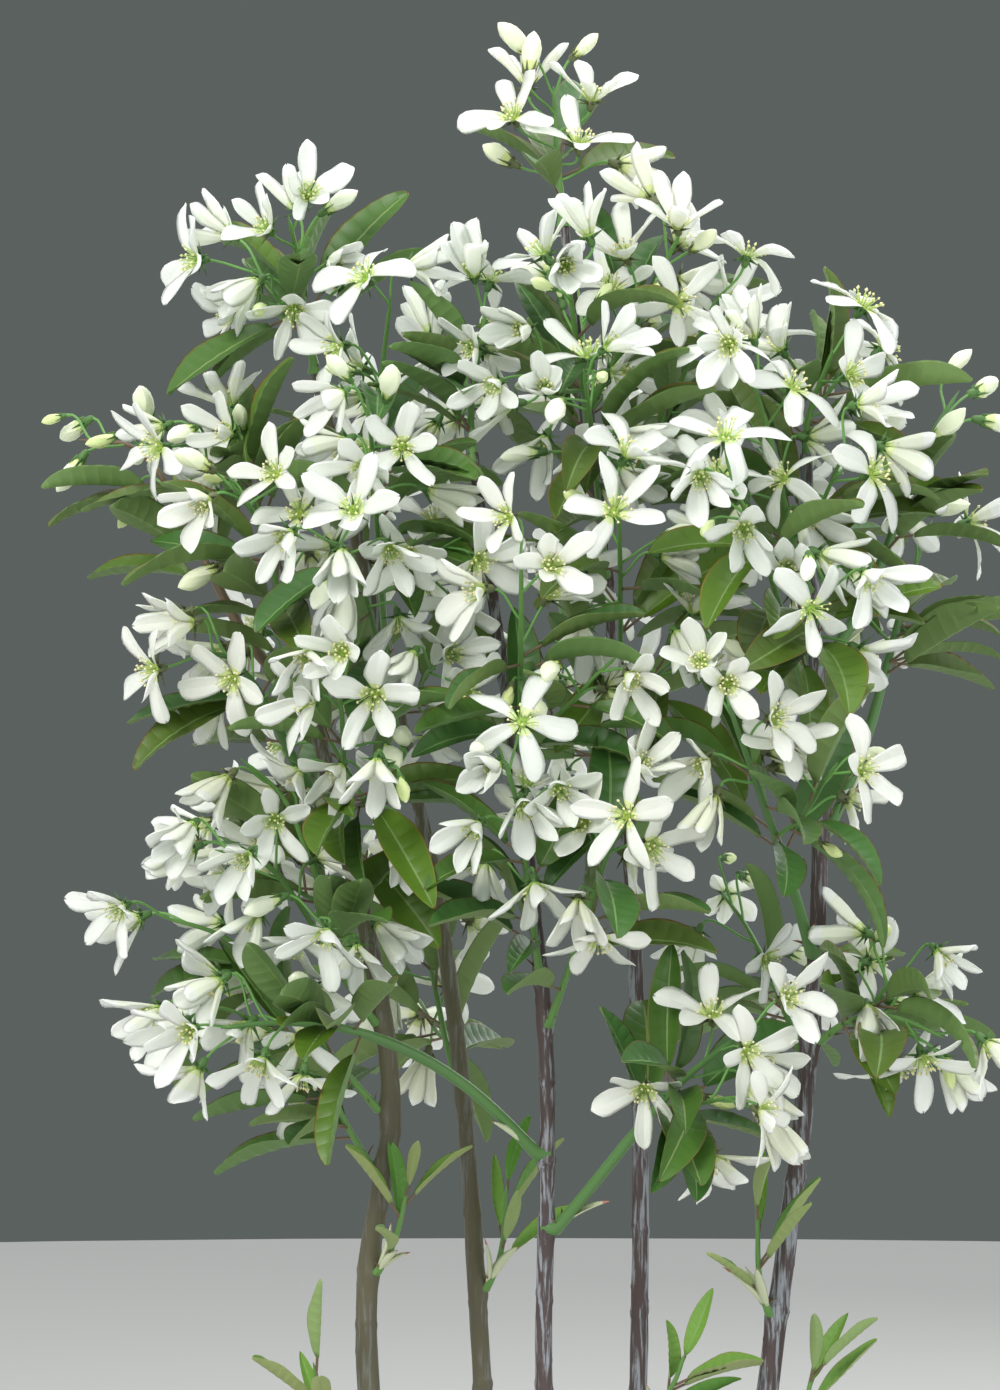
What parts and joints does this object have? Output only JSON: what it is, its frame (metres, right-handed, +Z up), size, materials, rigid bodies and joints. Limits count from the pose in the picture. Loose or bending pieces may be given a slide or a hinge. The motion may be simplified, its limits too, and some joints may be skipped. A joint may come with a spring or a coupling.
{
  "type": "serviceberry shrub",
  "caption": "Young multi-stemmed serviceberry shrub in full white blossom, slender bare stems rising from one root crown to a leafy flowering head.",
  "frame": {"origin": "middle of the flat cut under the root crown, at ground level", "axes": "+Z up along the stems; -Y is the front, the side that the picture shows; +X to the right as seen from the front"},
  "size_m": [0.3017, 0.2249, 0.6729],
  "materials": {
    "bark": "matt purplish brown bark with silvery flecks",
    "green_shoot": "smooth satin green young wood",
    "blossom": "white petals with green calyces, among olive and bronze leaves",
    "young_leaves": "fresh green leaves from pink bud scales"
  },
  "bodies": {
    "root": {"back_crest": "blossom", "back_left": "blossom", "back_left_high": "blossom", "back_low": "blossom", "back_middle": "blossom", "back_right_high": "blossom", "crest": "blossom", "crest_front": "blossom", "crest_low": "blossom", "crest_right": "blossom", "far_left": "blossom", "far_left_bough": "green_shoot", "far_right": "blossom", "far_right_bough": "green_shoot", "heart": "blossom", "heart_bough": "green_shoot", "high_inner": "blossom", "high_left": "blossom", "high_middle": "blossom", "inner_front": "blossom", "left_crest": "blossom", "left_face": "blossom", "left_foot": "blossom", "left_front": "blossom", "left_inner_low": "blossom", "left_low": "blossom", "left_low_bough": "green_shoot", "left_low_front": "blossom", "left_low_front_bough": "green_shoot", "left_low_high": "blossom", "left_low_outer": "blossom", "left_middle": "blossom", "left_shoulder": "blossom", "middle_front": "blossom", "middle_low": "blossom", "middle_low_right": "blossom", "right_crest": "blossom", "right_front": "blossom", "right_high": "blossom", "right_inner": "blossom", "right_low": "blossom", "right_low_bough": "green_shoot", "right_low_outer": "blossom", "right_outer": "blossom", "right_outer_bough": "green_shoot", "root_crown": "bark", "shoulder": "blossom", "stem_left": "bark", "stem_left_back": "bark", "stem_middle": "bark", "stem_right": "bark", "stem_tall": "bark", "tuft_left": "young_leaves", "tuft_left_back": "young_leaves", "tuft_low_left": "young_leaves", "tuft_low_middle": "young_leaves", "tuft_low_right": "young_leaves", "tuft_outer_right": "young_leaves", "tuft_right": "young_leaves"}
  },
  "joints": []
}
